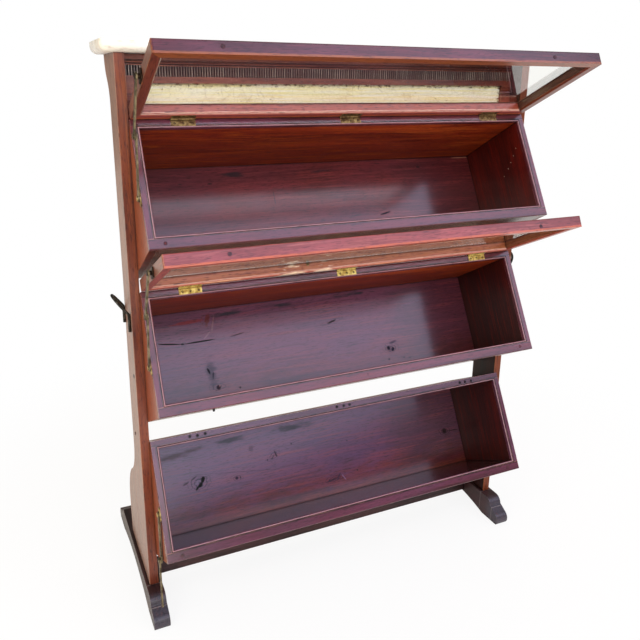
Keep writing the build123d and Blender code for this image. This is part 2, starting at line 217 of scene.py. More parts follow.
def zoneShare(tree, axes, ragged, zone):
    # how much a point belongs to a band or an end of the piece, measured in mm along one axis
    shift = addNode(tree, "Math", (ragged, zone["ragged"] * mm), operation="MULTIPLY")
    value = addNode(tree, "Math", (axes[zone["axis"]], shift), operation="ADD")
    if "centre" in zone:
        part = addNode(tree, "Math", (value, zone["centre"] * mm), operation="SUBTRACT")
        value = addNode(tree, "Math", (part,), operation="ABSOLUTE")
        half = zone["half"] * mm
        return addNode(tree, "MapRange", (value, half * 0.3, half, zone["share"], 0), **soft)
    return addNode(tree, "MapRange", (value, zone["start"] * mm, zone["end"] * mm, 0, zone["share"]), **soft)


def ovalReach(tree, own, spotted):
    # 0 in the middle of an oval and 1 on its rim
    x, y = spotted["at"]
    wide, tall = spotted["size"]
    oval = addNode(tree, "Mapping", {
        "Vector": own, "Location": (x * mm, y * mm, 0),
        "Rotation": (0, 0, math.radians(spotted.get("turn", 0))),
        "Scale": (wide * mm, tall * mm, 1000)}, vector_type="TEXTURE")
    return addNode(tree, "VectorMath", {0: oval}, "Value", operation="LENGTH")


def blemishShare(tree, own, ragged, stain):
    # an oval with a rough rim
    reach = ovalReach(tree, own, stain)
    part = addNode(tree, "Math", (ragged, stain.get("rough", 0.8)), operation="MULTIPLY")
    reach = addNode(tree, "Math", (reach, part), operation="ADD")
    return addNode(tree, "MapRange", (reach, stain.get("core", 0.6), 1.0, stain["share"], 0), **soft)


def swirlShare(tree, own, ragged, knot):
    # the grain runs round a knot: thin dark rings that fade outwards
    reach = ovalReach(tree, own, knot)
    rings = addNode(tree, "Math", (reach, knot["rings"]), operation="MULTIPLY")
    part = addNode(tree, "Math", (ragged, 3.0), operation="MULTIPLY")
    bent = addNode(tree, "Math", (rings, part), operation="ADD")
    part = addNode(tree, "Math", (bent,), operation="FRACT")
    part = addNode(tree, "Math", (part, 0.5), operation="SUBTRACT")
    ring = addNode(tree, "Math", (part,), operation="ABSOLUTE")
    fading = addNode(tree, "MapRange", (reach, 0.3, 1.0, knot["share"], 0), **soft)
    share = addNode(tree, "MapRange", (ring, 0.0, 0.22, 1, 0), **soft)
    return addNode(tree, "Math", (share, fading), operation="MULTIPLY")


def polishedMahogany(name, look, place=Matrix(), turn=alongX, zones=(), marks=(), knots=()):
    material, tree = startMaterial(name)
    world = addNode(tree, "TexCoord", out="Object")
    settings = {"Vector": world, "Location": place.translation, "Rotation": place.to_euler()}
    own = addNode(tree, "Mapping", settings, vector_type="TEXTURE")
    axes = {axis: addNode(tree, "SeparateXYZ", (own,), axis.upper()) for axis in "xyz"}
    axes["side"] = addNode(tree, "Math", (axes["x"],), operation="ABSOLUTE")
    turned = addNode(tree, "Mapping", {"Vector": own, "Rotation": turn})
    wander = addNode(tree, "Mapping", {"Vector": turned, "Scale": perMm(grain["sway"])})
    sway = addNode(tree, "TexNoise", {"Vector": wander, "Scale": 1.0}, "Color")
    swayed = addNode(tree, "VectorMath", {0: sway, "Scale": grain["swayBy"]}, operation="SCALE")
    line = addNode(tree, "VectorMath", {0: turned, 1: swayed}, operation="ADD")
    figure = mottle(tree, line, grain["figure"], 3.0, 0.55, 0.4)
    streak = mottle(tree, line, grain["streak"], 3.0, 0.6)
    pore = mottle(tree, line, grain["pore"], 1.0)
    spread = addNode(tree, "Mapping", {"Vector": turned, "Scale": perMm(grain["cloud"]),
                                       "Location": grain["cloudFrom"]})
    cloud = addNode(tree, "TexNoise", {"Vector": spread, "Scale": 1.0, "Detail": 2.0})
    ragged = mottle(tree, turned, grain["ragged"], 4.0, 0.6)
    ragged = addNode(tree, "Math", (ragged, 0.5), operation="SUBTRACT")
    colour = tintOver(tree, look["heart"], look["body"], figure, (0.34, 0.66))
    # the bloom patches are partly old polish bloom and partly a painted reflection: the mauve of a bluish
    # light mirrored in the polish
    colour = tintOver(tree, colour, look["bloom"], cloud, (0.4, 0.7, 0, look["bloomed"]))
    for zone in zones:
        share = zoneShare(tree, axes, ragged, zone)
        colour = addNode(tree, "Mix", {0: share, 6: colour, 7: zone["colour"]}, **ofColours)
    colour = tintOver(tree, colour, look["light"], streak, (0.46, 0.78, 0, look["streaks"]))
    colour = tintOver(tree, colour, look["heart"], streak, (0.28, 0.46, look["streaks"], 0))
    bare = 0.0
    for knot in knots:
        share = swirlShare(tree, own, ragged, knot)
        colour = addNode(tree, "Mix", {0: share, 6: colour, 7: knot["colour"]}, **ofColours)
        part = addNode(tree, "Math", (share, 0.7), operation="MULTIPLY")
        bare = addNode(tree, "Math", (bare, part), operation="MAXIMUM")
    for stain in marks:
        share = blemishShare(tree, own, ragged, stain)
        colour = addNode(tree, "Mix", {0: share, 6: colour, 7: stain["colour"]}, **ofColours)
        part = addNode(tree, "Math", (share, stain.get("dull", 1.0)), operation="MULTIPLY")
        bare = addNode(tree, "Math", (bare, part), operation="MAXIMUM")
    # hair-fine drying checks, drawn two or three times as wide as real ones so that they show
    check = mottle(tree, line, grain["check"], 2.0, 0.6)
    checks = addNode(tree, "MapRange", (check, 0.66, 0.72, 0, 0.75), **soft)
    colour = addNode(tree, "Mix", {0: checks, 6: colour, 7: grain["checkDark"]}, **ofColours)
    pores = addNode(tree, "MapRange", (pore, 0.32, 0.44, 0.5, 0), **soft)
    colour = addNode(tree, "Mix", {0: pores, 6: colour, 7: look["heart"]}, blend_type="MULTIPLY", **ofColours)
    # the polish is gone along the arrises, down to bare orange wood
    solid = addNode(tree, "NewGeometry", out="True Normal")
    rounded = addNode(tree, "Bevel", {"Radius": grain["wearRadius"] * mm}, samples=4)
    facing = addNode(tree, "VectorMath", (solid, rounded), "Value", operation="DOT_PRODUCT")
    # painted shade and old dirt: the corners, where the bevelled normal leans too, are painted dark
    hollow = addNode(tree, "AmbientOcclusion", {"Distance": grain["crevice"] * mm}, out="AO", samples=4)
    dirt = addNode(tree, "MapRange", (hollow, 0.5, 0.92, look["dirt"], 0), **soft)
    rubbed = addNode(tree, "MapRange", (ragged, -0.12, 0.12), **soft)
    share = addNode(tree, "MapRange", (facing, 0.985, 0.86), **soft)
    outer = addNode(tree, "MapRange", (hollow, 0.8, 0.98), **soft)
    edge = addNode(tree, "Math", (share, outer), operation="MULTIPLY")
    part = addNode(tree, "Math", (edge, rubbed), operation="MULTIPLY")
    worn = addNode(tree, "Math", (part, look["worn"]), operation="MULTIPLY")
    colour = addNode(tree, "Mix", {0: worn, 6: colour, 7: look["bare"]}, **ofColours)
    colour = addNode(tree, "Mix", {0: dirt, 6: colour, 7: grain["dirt"]}, **ofColours)
    part = addNode(tree, "Math", (bare, dirt), operation="MAXIMUM")
    whole = addNode(tree, "Math", (1.0, part), operation="SUBTRACT")
    film = addNode(tree, "Math", (whole, look["shellac"]), operation="MULTIPLY")
    part = addNode(tree, "Math", (streak, 0.4), operation="MULTIPLY")
    sunken = addNode(tree, "Math", (pores, checks), operation="ADD")
    height = addNode(tree, "Math", (part, sunken), operation="SUBTRACT")
    bump = addNode(tree, "Bump", {"Strength": look["open"], "Distance": 0.2 * mm, "Height": height})
    share = addNode(tree, "MapRange", (streak, 0.3, 0.7, 0.46, 0.58), **soft)
    part = addNode(tree, "Math", (worn, 0.2), operation="MULTIPLY")
    rough = addNode(tree, "Math", (share, part), operation="ADD")
    shader = addNode(tree, "BsdfPrincipled", {
        "Base Color": colour, "Roughness": rough, "Normal": bump, "Specular IOR Level": 0.2,
        "Coat Weight": film, "Coat Roughness": look["haze"], "Coat IOR": grain["film"],
        "Coat Normal": bump,
    })
    addNode(tree, "OutputMaterial", {"Surface": shader})
    return material


standLook = {"heart": "#4c1a0a", "body": "#743216", "light": "#94501f", "streaks": 0.6,
             "bloom": "#7c3c26", "bloomed": 0.4, "bare": "#c98a58", "worn": 0.5, "dirt": 0.7,
             "shellac": 0.5, "haze": 0.24, "open": 0.25}
friezeLook = {"heart": "#48180f", "body": "#86412f", "light": "#a05844", "streaks": 0.5,
              "bloom": "#804a3c", "bloomed": 0.5, "bare": "#b87a5a", "worn": 0.5, "dirt": 0.9,
              "shellac": 0.6, "haze": 0.22, "open": 0.25}
faceLook = {"heart": "#3c0c16", "body": "#622028", "light": "#7a3038", "streaks": 0.4, "bloom": "#602840",
            "bloomed": 0.7, "bare": "#d08a78", "worn": 0.5, "dirt": 0.95, "shellac": 1.0, "haze": 0.18,
            "open": 0.12}
# painted reflection: the bottom bin's face frame is more mauve, as the bluish light its polish mirrors
bottomFaceLook = {**faceLook, "body": "#58223a", "light": "#6c3040", "bloom": "#58344e"}
floorLook = {"heart": "#1a0504", "body": "#34100c", "light": "#52201a", "streaks": 0.8,
             "bloom": "#3c141c", "bloomed": 0.5, "bare": "#b8643a", "worn": 0.3, "dirt": 0.9,
             "shellac": 1.0, "haze": 0.18, "open": 0.08}
roofLook = {"heart": "#6a1a08", "body": "#a43a14", "light": "#c8601e", "streaks": 0.7, "bloom": "#7c200c",
            "bloomed": 0.7, "bare": "#b8643a", "worn": 0.3, "dirt": 0.9, "shellac": 0.15, "haze": 0.3,
            "open": 0.08}
backLook = {"heart": "#3a0a0c", "body": "#6c1c18", "light": "#8c3836", "streaks": 0.5, "bloom": "#5c2032",
            "bloomed": 0.6, "bare": "#a05030", "worn": 0.2, "dirt": 0.9, "shellac": 1.0, "haze": 0.16,
            "open": 0.06}
endLook = {"heart": "#3c0602", "body": "#640f06", "light": "#822010", "streaks": 0.4, "bloom": "#500c08",
           "bloomed": 0.5, "bare": "#a05030", "worn": 0.3, "dirt": 0.9, "shellac": 0.6, "haze": 0.16,
           "open": 0.08}
upperLidLook = {"heart": "#380c14", "body": "#622028", "light": "#7e3840", "streaks": 0.4,
                "bloom": "#642a40", "bloomed": 0.7, "bare": "#a8602a", "worn": 0.85, "dirt": 0.8,
                "shellac": 0.8, "haze": 0.2, "open": 0.2}
middleLidLook = {"heart": "#6c2420", "body": "#98403c", "light": "#b06058", "streaks": 0.6,
                 "bloom": "#98444e", "bloomed": 0.6, "bare": "#b87a4c", "worn": 0.6, "dirt": 0.8,
                 "shellac": 0.7, "haze": 0.22, "open": 0.2}
baseLook = {"heart": "#200e0e", "body": "#42221f", "light": "#58383a", "streaks": 0.6, "bloom": "#443034",
            "bloomed": 0.5, "bare": "#74625e", "worn": 0.5, "dirt": 0.9, "shellac": 0.5, "haze": 0.3,
            "open": 0.35}

# how far a bead's rubbed crest lies from the edges of the face frame, in mm
beadLines = {"bottom": 23.0, "top": 16.0, "side": 14.5, "half": 1.7, "colour": "#b08488", "share": 0.6,
             "quirk": 3.1, "groove": 2.6, "dirty": "#16060c"}


def band(axis, centre, half, colour, share, ragged=0):
    return {"axis": axis, "centre": centre, "half": half, "colour": colour, "share": share, "ragged": ragged}


def fade(axis, start, end, colour, share, ragged=0):
    return {"axis": axis, "start": start, "end": end, "colour": colour, "share": share, "ragged": ragged}


def beadZones(axis, centre, side):
    # the rubbed crest, and the groove on its outer side, painted near black as dirt and shade
    look = beadLines
    return [band(axis, centre + side * look["quirk"], look["groove"], look["dirty"], 0.9, 0.8),
            band(axis, centre, look["half"], look["colour"], look["share"], 1.4)]


def mark(x, y, wide, tall, colour, share, **more):
    # a mark, such as a knot, stain, crack, painted reflection and painted highlight: mm from the middle and
    # up the open face, and its size in mm
    return {"at": (x, y), "size": (wide, tall), "colour": colour, "share": share, **more}


# what shows on each back board, from above down
backMarks = {
    "upper": [
        # painted reflection: the two broad dark bands near the top are the bin's top rail mirrored in the
        # polish
        mark(-216, 223, 34, 9, "#20161a", 0.85, rough=2.2, core=0.1, dull=0.3),
        mark(20, 222, 44, 8, "#20161a", 0.85, rough=2.2, core=0.1, dull=0.3),
        mark(298.5, 220.3, 7, 3.5, "#1c0c0c", 0.8),
        mark(-276.5, 203.4, 8, 2.2, "#160a0c", 0.95),
        mark(-347, 206, 6, 2, "#2a1418", 0.7),
        mark(-124, 160, 1.6, 22, "#2c1420", 0.6),
        mark(-167, 124, 24, 3, "#7c2a24", 0.4, rough=2.6, dull=0.1),
        mark(170, 100, 20, 2.6, "#1a0f1c", 0.95, turn=13, rough=0.4),
        mark(438, 241.5, 36, 1.6, "#a06a58", 0.8, rough=0.4),
    ],
    "middle": [
        mark(-394, 171.5, 34, 2.0, "#170808", 1.0, turn=-8, rough=0.4),
        mark(-320, 167.5, 48, 2.2, "#170808", 1.0, turn=1, rough=0.4),
        mark(-224, 171.5, 26, 1.6, "#2a1016", 0.9, turn=9, rough=0.5),
        mark(-362.9, 167.2, 4.5, 2.6, "#100606", 1.0),
        mark(-293, 219, 7, 17, "#5c0f08", 0.85, turn=-14, rough=1.8, dull=0.7),
        mark(-345, 218, 50, 5, "#8c2418", 0.6, turn=3, rough=1.6),
        mark(-281, 206, 2.4, 26, "#a86a72", 0.25, turn=-16, rough=2.0, dull=0),
        mark(-298, 182, 2.4, 13, "#a86a72", 0.25, turn=-48, rough=2.0, dull=0),
        mark(-309.9, 93.3, 3.2, 10, "#0e0610", 1.0, turn=20, rough=0.5),
        mark(-300.4, 82, 2.6, 12, "#141024", 0.8, turn=-10, rough=1.0),
        mark(-292, 50.5, 6, 7, "#2e1420", 0.95, rough=1.4),
        mark(-289, 54, 2.2, 2.6, "#9a6a6a", 0.8),
        mark(-304, 86, 18, 48, "#1c1026", 0.75, rough=2.2, core=0.2, dull=0.5),
        mark(-238.6, 41.4, 2.4, 2.4, "#0c0608", 1.0),
        mark(39, 169.7, 17, 2.6, "#1c0a10", 0.95, turn=17, rough=0.6),
        mark(190.2, 76.3, 5.6, 7, "#0e0612", 1.0, turn=20, rough=0.8),
        mark(203, 71.5, 5, 6.6, "#120818", 1.0, turn=-25, rough=0.8),
        mark(207, 90, 17, 5, "#2c1c38", 0.6, turn=10, rough=1.4),
        mark(196, 74, 15, 15, "#34203c", 0.4, rough=1.2, core=0.2),
        mark(185, 46, 3.4, 2.6, "#1a0c18", 0.8),
        mark(232, 44.5, 3.4, 2.4, "#1a0c18", 0.8),
        mark(249.4, 41, 3, 2.2, "#1a0c18", 0.8),
        # painted reflection: the three broad dark bands near the top are the bin's top rail mirrored in the
        # polish
        mark(-242, 229, 44, 9, "#241c26", 0.95, rough=2.6, core=0.1, dull=0.6),
        mark(-86, 231, 64, 9, "#241c26", 0.95, rough=2.6, core=0.1, dull=0.6),
        mark(105, 236, 56, 8, "#241c26", 0.95, rough=2.6, core=0.1, dull=0.6),
        mark(287, 189.5, 34, 2, "#8c7088", 0.5, turn=6, rough=1.0),
    ],
    "bottom": [
        mark(-342, 134, 17, 15, "#4c3c62", 0.55, rough=1.4, core=0.2, dull=0),
        mark(-330, 138, 6.5, 11, "#020101", 1.0, turn=-24, rough=0.7),
        mark(-337.5, 128.5, 10, 6, "#020101", 1.0, turn=46, rough=0.7),
        mark(-347, 121, 7, 3, "#040202", 1.0, turn=48, rough=0.9),
        mark(-374, 138, 10, 2.4, "#0c060e", 0.7, turn=20, rough=1.0),
        mark(-352, 147, 12, 2, "#0c060e", 0.7, turn=30, rough=1.0),
        mark(-220, 136, 120, 0.9, "#2e1a34", 0.6, turn=-8, rough=0.6),
        mark(-240.8, 124, 5.4, 5.4, "#2a1430", 0.95, rough=1.0),
        mark(-231, 123, 2.4, 3.4, "#241226", 0.9),
        mark(-124.5, 163, 2.2, 11, "#160c20", 0.95, turn=14, rough=0.7),
        mark(-149.8, 151.5, 2.4, 2.4, "#160c20", 0.9),
        mark(-136, 153, 4, 2, "#160c20", 0.8, turn=30),
        mark(-75, 179.5, 2.8, 2.8, "#160c20", 0.9),
        mark(-190, 190, 10, 16, "#3a3446", 0.4, rough=1.4, core=0.2),
        mark(22, 60, 20, 3, "#1e1026", 0.75, turn=8, rough=1.2),
        mark(46, 66, 3, 14, "#241430", 0.75, turn=-38, rough=0.8),
        mark(60, 62, 2, 12, "#8a7098", 0.5, turn=30, rough=0.8),
        mark(104.9, 70.5, 2.6, 2.6, "#150a14", 0.95),
        mark(90.4, 155.3, 2.6, 2.6, "#150a14", 0.95),
        mark(411, 119, 10, 9, "#120404", 0.85, rough=1.4),
        mark(440, 117, 24, 1.6, "#120404", 0.8, turn=-4, rough=0.6),
        # painted reflection: the three broad dark bands near the top are the bin's top rail mirrored in the
        # polish
        mark(-244, 221, 42, 12, "#1d1a1e", 0.9, turn=3, rough=2.6, core=0.1, dull=0.5),
        mark(-70, 224, 90, 12, "#1d1a1e", 0.9, rough=2.6, core=0.1, dull=0.5),
        mark(-380, 212, 80, 12, "#3a1818", 0.9, turn=6, rough=2.6, core=0.1, dull=0.5),
    ],
}
backKnots = {
    "upper": [
        mark(298, 220, 26, 12, "#2c1014", 0.8, rings=3),
    ],
    "middle": [
        mark(-292, 52, 34, 18, "#1a0c1c", 0.9, rings=3.5),
        mark(-293, 216, 34, 30, "#5c1c20", 0.7, rings=3),
        mark(197, 76, 40, 22, "#1c0c20", 0.9, rings=4),
        mark(39, 170, 60, 9, "#2a1018", 0.7, rings=2.5, turn=12),
        mark(-105, 158, 60, 6, "#2a1018", 0.6, rings=2.5),
    ],
    "bottom": [
        mark(-340, 134, 44, 30, "#160c20", 1.0, rings=5),
        mark(-240, 124, 22, 14, "#1a0e22", 0.9, rings=3),
        mark(-130, 160, 30, 16, "#1a0e22", 0.8, rings=3.5, turn=30),
        mark(32, 62, 46, 17, "#1a0e22", 0.9, rings=4, turn=8),
        mark(411, 119, 34, 16, "#100404", 0.9, rings=4),
    ],
}
faceMarks = {
    "bottom": [],
    "middle": [
        mark(1, 12.8, 2, 2, "#1a0c12", 0.9),
        mark(442.5, 12, 4.2, 4.2, "#1a0810", 0.9, rough=0.3),
        mark(442.5, 12, 2.6, 2.6, "#6a3038", 0.9, rough=0.3),
    ],
    "upper": [
        mark(-447.9, 10.4, 4.4, 4.4, "#14060c", 1.0, rough=0.3),
        mark(-447.9, 10.4, 2.8, 2.8, "#6a3038", 0.9, rough=0.3),
    ],
}
# painted highlights: the pale cream streaks along the middle lid's hinge rail
lidMarks = {
    "upper": [],
    "middle": [
        mark(-150, 250, 44, 8, "#f0d8b8", 0.9, rough=2.4),
        mark(-55, 250, 44, 8, "#f2dcc0", 0.9, rough=2.4),
        mark(-300, 245.5, 60, 1.4, "#e0b080", 0.6, rough=1.6),
        mark(110, 245.5, 70, 1.4, "#e0a070", 0.5, rough=1.6),
    ],
}

woods = {}
faceLooks = {"upper": faceLook, "middle": faceLook, "bottom": bottomFaceLook}
# painted reflection: each back board is tinted towards its top, mauve in the two lower bins, as the bluish
# light its polish mirrors
backShadeAndSheen = {"upper": ("#6c2420", 0.3), "middle": ("#6c3a5c", 0.5), "bottom": ("#583a6e", 0.5)}
endShade = {"upper": 0.3, "middle": 0.8, "bottom": 0.7}
mahogany = "polishedMahogany_"
for level in levels:
    place = binPlace(level)
    name = mahogany + level
    look = faceLooks[level]
    rails = beadZones("y", beadLines["bottom"], -1) + beadZones("y", faceUp - beadLines["top"], 1)
    woods[level + "Face"] = polishedMahogany(name + "FaceRails", look, place, alongX, rails, faceMarks[level])
    stiles = beadZones("side", binHalf - beadLines["side"], 1)
    woods[level + "FaceStiles"] = polishedMahogany(name + "FaceStiles", look, place, alongY, stiles)
    woods[level + "Floor"] = polishedMahogany(name + "FloorBoard", floorLook, place)
    woods[level + "Roof"] = polishedMahogany(name + "TopBoard", roofLook, place)
    tone, share = backShadeAndSheen[level]
    # painted shade: each back board is also painted darker towards its right end; the bottom bin's back board
    # turns orange-brown towards its foot
    shadeAndSheen = [fade("y", 30, 120, tone, share, 120), fade("x", 160, 300, "#3c0a0a", 0.6, 120)]
    if level == "bottom":
        shadeAndSheen.append(fade("y", 44, 18, "#6c2e16", 0.8, 30))
    woods[level + "Back"] = polishedMahogany(name + "BackBoard", backLook, place, alongX, shadeAndSheen,
                                             backMarks[level], backKnots[level])
    # painted shade: an end is painted dark within the bin, and keeps a lighter outer face
    twoFaced = [fade("side", binHalf - 5, binHalf - 9, "#1c0302", endShade[level]),
                fade("side", binHalf - 3, binHalf - 1, "#9c4e28", 0.9)]
    woods[level + "Ends"] = polishedMahogany(name + "Ends", endLook, place, alongY, twoFaced)

lidColours = {
    "upper": {"look": upperLidLook, "inside": "#70341a", "reveal": "#4c3020", "free": "#8e4c22",
              "hinge": "#a0402e", "hingeReveal": "#984430"},
    "middle": {"look": middleLidLook, "inside": "#a0462c", "reveal": "#7c4a2a", "free": "#b8552c",
               "hinge": "#b84a2a", "hingeReveal": "#a8623a"},
}
for level in lidLevels:
    place = lidPlace(level)
    name = mahogany + level + "Lid"
    tones = lidColours[level]
    look = tones["look"]
    free = [fade("z", 5.5, 3.5, tones["free"], 0.85, 2), fade("y", 20.0, 20.4, tones["reveal"], 0.9)]
    hinge = [fade("z", 5.5, 3.5, tones["hinge"], 0.85, 2),
             fade("y", faceUp - 20.0, faceUp - 20.4, tones["hingeReveal"], 0.9),
             # painted highlights: the two pale bands along the hinge rail
             band("y", faceUp - 18.6, 1.1, "#d8aa98", 0.6, 2.4),
             fade("y", faceUp - 8, faceUp - 4, "#c8642e", 0.7, 3),
             band("z", 4.6, 1.5, "#e4bca8", 0.6, 2.4)]
    side = [fade("z", 5.5, 3.5, tones["inside"], 0.85, 2),
            fade("side", lidHalf - 20.0, lidHalf - 20.4, tones["reveal"], 0.9),
            fade("side", lidHalf - 1.5, lidHalf - 0.3, "#7c4c34", 0.85)]
    woods[level + "LidFree"] = polishedMahogany(name + "FreeRail", look, place, alongX, free)
    railGlints = lidMarks[level]
    woods[level + "LidHinge"] = polishedMahogany(name + "HingeRail", look, place, alongX, hinge, railGlints)
    woods[level + "LidStiles"] = polishedMahogany(name + "Stiles", look, place, alongY, side)

standPlace = Matrix.Translation((0, standFront, 0))
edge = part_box("upright_right")[1].x / mm
# painted sheen: the uprights' outer faces are painted pale tan, as the light their polish mirrors
paleOuterSheen = fade("side", edge - 1.4, edge - 0.2, "#b59a8a", 0.5)
woods["uprightLeft"] = polishedMahogany(mahogany + "uprightLeft", standLook, standPlace, alongZ, [paleOuterSheen])
lit = fade("y", 2, 0.5, "#7c3a1a", 0.85)
# the right upright is a darker board and is painted darker still as shade; its front edge is rubbed and
# painted lighter, as lit
shaded = {**standLook, "heart": "#160402", "body": "#320e06", "light": "#46180c", "bloom": "#2c0c08",
          "shellac": 0.15}
woods["uprightRight"] = polishedMahogany(mahogany + "uprightRight", shaded, standPlace, alongZ, [paleOuterSheen, lit])
woods["frieze"] = polishedMahogany(mahogany + "frieze", friezeLook, standPlace)
toes = [fade("y", -20, -48, "#3c3c48", 0.8, 12), band("y", -51.5, 1.6, "#8a8082", 0.6, 2.5),
        band("y", 0, 1.5, "#948a8a", 0.6, 2.5)]
woods["feet"] = polishedMahogany("stainedMahogany_feet", baseLook, standPlace, alongY, toes)
woods["stretcher"] = polishedMahogany("stainedMahogany_stretcher", baseLook, standPlace)
print("woods made:", len(woods))


# white marble, sawn and polished, gone cream where hands and damp have reached it

marbleLook = {"white": "#fbfaf6", "cream": "#efe6d2", "vein": "#c9c6c0", "grime": "#a08c70",
              "cloud": (260, 260, 260), "veinSize": (420, 140, 140), "sawn": (30, 9, 9)}  # sizes in mm


def polishedMarble(look):
    material, tree = startMaterial("polishedWhiteMarble")
    own = addNode(tree, "TexCoord", out="Object")
    cloud = mottle(tree, own, look["cloud"], 4.0, 0.6)
    vein = mottle(tree, own, look["veinSize"], 6.0, 0.62, 1.2)
    part = addNode(tree, "Math", (vein, 0.5), operation="SUBTRACT")
    thin = addNode(tree, "Math", (part,), operation="ABSOLUTE")
    thin = addNode(tree, "MapRange", (thin, 0.0, 0.022, 0.3, 0.0), **soft)
    colour = tintOver(tree, look["white"], look["cream"], cloud, (0.42, 0.7, 0, 0.8))
    colour = addNode(tree, "Mix", {0: thin, 6: colour, 7: look["vein"]}, **ofColours)
    # grime and painted shade on the faces that do not look up: the sawn front edge and the underside
    normal = addNode(tree, "NewGeometry", out="True Normal")
    facing = addNode(tree, "SeparateXYZ", {0: normal}, 2)
    sawn = mottle(tree, own, look["sawn"], 4.0, 0.65)
    share = addNode(tree, "MapRange", (facing, 0.6, 0.1), **soft)
    patchy = addNode(tree, "MapRange", (sawn, 0.45, 0.72, 0.05, 0.5), **soft)
    dirty = addNode(tree, "Math", (share, patchy), operation="MULTIPLY")
    colour = addNode(tree, "Mix", {0: dirty, 6: colour, 7: look["grime"]}, **ofColours)
    bump = addNode(tree, "Bump", {"Strength": 0.3, "Distance": 0.3 * mm, "Height": dirty})
    share = addNode(tree, "MapRange", (cloud, 0.3, 0.7, 0.22, 0.4), **soft)
    shader = addNode(tree, "BsdfPrincipled", {
        "Base Color": colour, "Roughness": share, "IOR": 1.5, "Normal": bump,
        "Subsurface Weight": 0.1, "Subsurface Radius": (4 * mm, 3.4 * mm, 3 * mm), "Subsurface Scale": 1.0,
    })
    addNode(tree, "OutputMaterial", {"Surface": shader})
    return material


# oil paint on a board, brushed on, now yellowed, crazed and chipped along the edges

signLook = {"cream": "#fff6b8", "pale": "#fffde8", "stain": "#c8ac66", "crack": "#7a6030", "chip": "#4a2a18",
            "brush": (120, 5, 3), "blot": (60, 40, 30), "flake": (9, 9, 5), "craze": (16, 16, 16),
            "crevice": 9}  # sizes in mm


def agedPaint(name, look):
    material, tree = startMaterial(name)
    own = addNode(tree, "TexCoord", out="Object")
    brush = mottle(tree, own, look["brush"], 3.0)
    stain = mottle(tree, own, look["blot"], 5.0, 0.65)
    spread = addNode(tree, "Mapping", {"Vector": own, "Scale": perMm(look["craze"])})
    cells = addNode(tree, "TexVoronoi", {"Vector": spread, "Scale": 1.0}, "Distance",
                    feature="DISTANCE_TO_EDGE")
    craze = addNode(tree, "MapRange", (cells, 0.0, 0.03, 0.35, 0.0), **soft)
    hollow = addNode(tree, "AmbientOcclusion", {"Distance": look["crevice"] * mm}, out="AO", samples=4)
    flake = mottle(tree, own, look["flake"], 4.0, 0.65)
    part = addNode(tree, "Math", (hollow, 0.5), operation="MULTIPLY")
    loose = addNode(tree, "Math", (flake, part), operation="SUBTRACT")
    chips = addNode(tree, "MapRange", (loose, 0.15, 0.22), **soft)
    colour = tintOver(tree, look["cream"], look["pale"], brush, (0.35, 0.65))
    colour = tintOver(tree, colour, look["stain"], stain, (0.52, 0.8, 0, 0.5))
    colour = addNode(tree, "Mix", {0: craze, 6: colour, 7: look["crack"]}, **ofColours)
    colour = addNode(tree, "Mix", {0: chips, 6: colour, 7: look["chip"]}, **ofColours)
    part = addNode(tree, "Math", (craze, chips), operation="ADD")
    height = addNode(tree, "Math", (brush, part), operation="SUBTRACT")
    bump = addNode(tree, "Bump", {"Strength": 0.3, "Distance": 0.2 * mm, "Height": height})
    share = addNode(tree, "MapRange", (stain, 0.3, 0.7, 0.5, 0.7), **soft)
    shader = addNode(tree, "BsdfPrincipled", {"Base Color": colour, "Roughness": share, "Normal": bump})
    addNode(tree, "OutputMaterial", {"Surface": shader})
    return material


# glazing putty: whiting and oil, pressed in by thumb and painted over

puttyLook = {"old": "#86604a", "stained": "#4a2a1e", "patch": (44, 22, 22)}


def thumbedPutty(look):
    material, tree = startMaterial("thumbedPutty")
    own = addNode(tree, "TexCoord", out="Object")
    patch = mottle(tree, own, look["patch"], 4.0, 0.6)
    colour = tintOver(tree, look["stained"], look["old"], patch, (0.4, 0.62))
    bump = addNode(tree, "Bump", {"Strength": 0.5, "Distance": 0.5 * mm, "Height": patch})
    shader = addNode(tree, "BsdfPrincipled", {"Base Color": colour, "Roughness": 0.7, "Normal": bump})
    addNode(tree, "OutputMaterial", {"Surface": shader})
    return material


# drawn sheet glass: almost clear, with a slight wave from the drawing

glassLook = {"tint": "#fafbf7", "wave": (420, 140, 140)}


def sheetGlass(look):
    material, tree = startMaterial("drawnSheetGlass")
    own = addNode(tree, "TexCoord", out="Object")
    wave = mottle(tree, own, look["wave"], 1.0)
    bump = addNode(tree, "Bump", {"Strength": 0.08, "Distance": 1 * mm, "Height": wave})
    shader = addNode(tree, "BsdfPrincipled", {
        "Base Color": look["tint"], "Roughness": 0.02, "IOR": 1.5, "Transmission Weight": 1.0,
        "Normal": bump,
    })
    clear = addNode(tree, "BsdfTransparent", {"Color": look["tint"]})
    rays = [addNode(tree, "LightPath", out=kind) for kind in ("Is Shadow Ray", "Is Diffuse Ray")]
    lets = addNode(tree, "Math", rays, operation="MAXIMUM")
    mixed = addNode(tree, "MixShader", {0: lets, 1: shader, 2: clear})
    addNode(tree, "OutputMaterial", {"Surface": mixed})
    return material


# cast and rolled brass, rubbed bright on the high places and brown in the corners

brassLooks = {
    "upperLeaves": {"bright": "#9a8050", "tarnish": "#64482a", "dark": "#301c10", "patch": 9, "low": 0.6},
    "middleLeaves": {"bright": "#ecd67a", "tarnish": "#b08c40", "dark": "#4a3218", "patch": 11, "low": 0.2},
    "arms": {"bright": "#85785a", "tarnish": "#4e4430", "dark": "#2e281c", "patch": 14, "low": 0.4},
    "knuckles": {"bright": "#d6bc70", "tarnish": "#8a6e34", "dark": "#3a2e1a", "patch": 8, "low": 0.3},
    "bracket": {"bright": "#4a3626", "tarnish": "#2c1e16", "dark": "#120c0a", "patch": 8, "low": 0.6},
    "screws": {"bright": "#5a4424", "tarnish": "#30200f", "dark": "#120b06", "patch": 3, "low": 0.8},
}
brassScratch = (1.2, 12, 12)  # mm
brassCrevice = 3


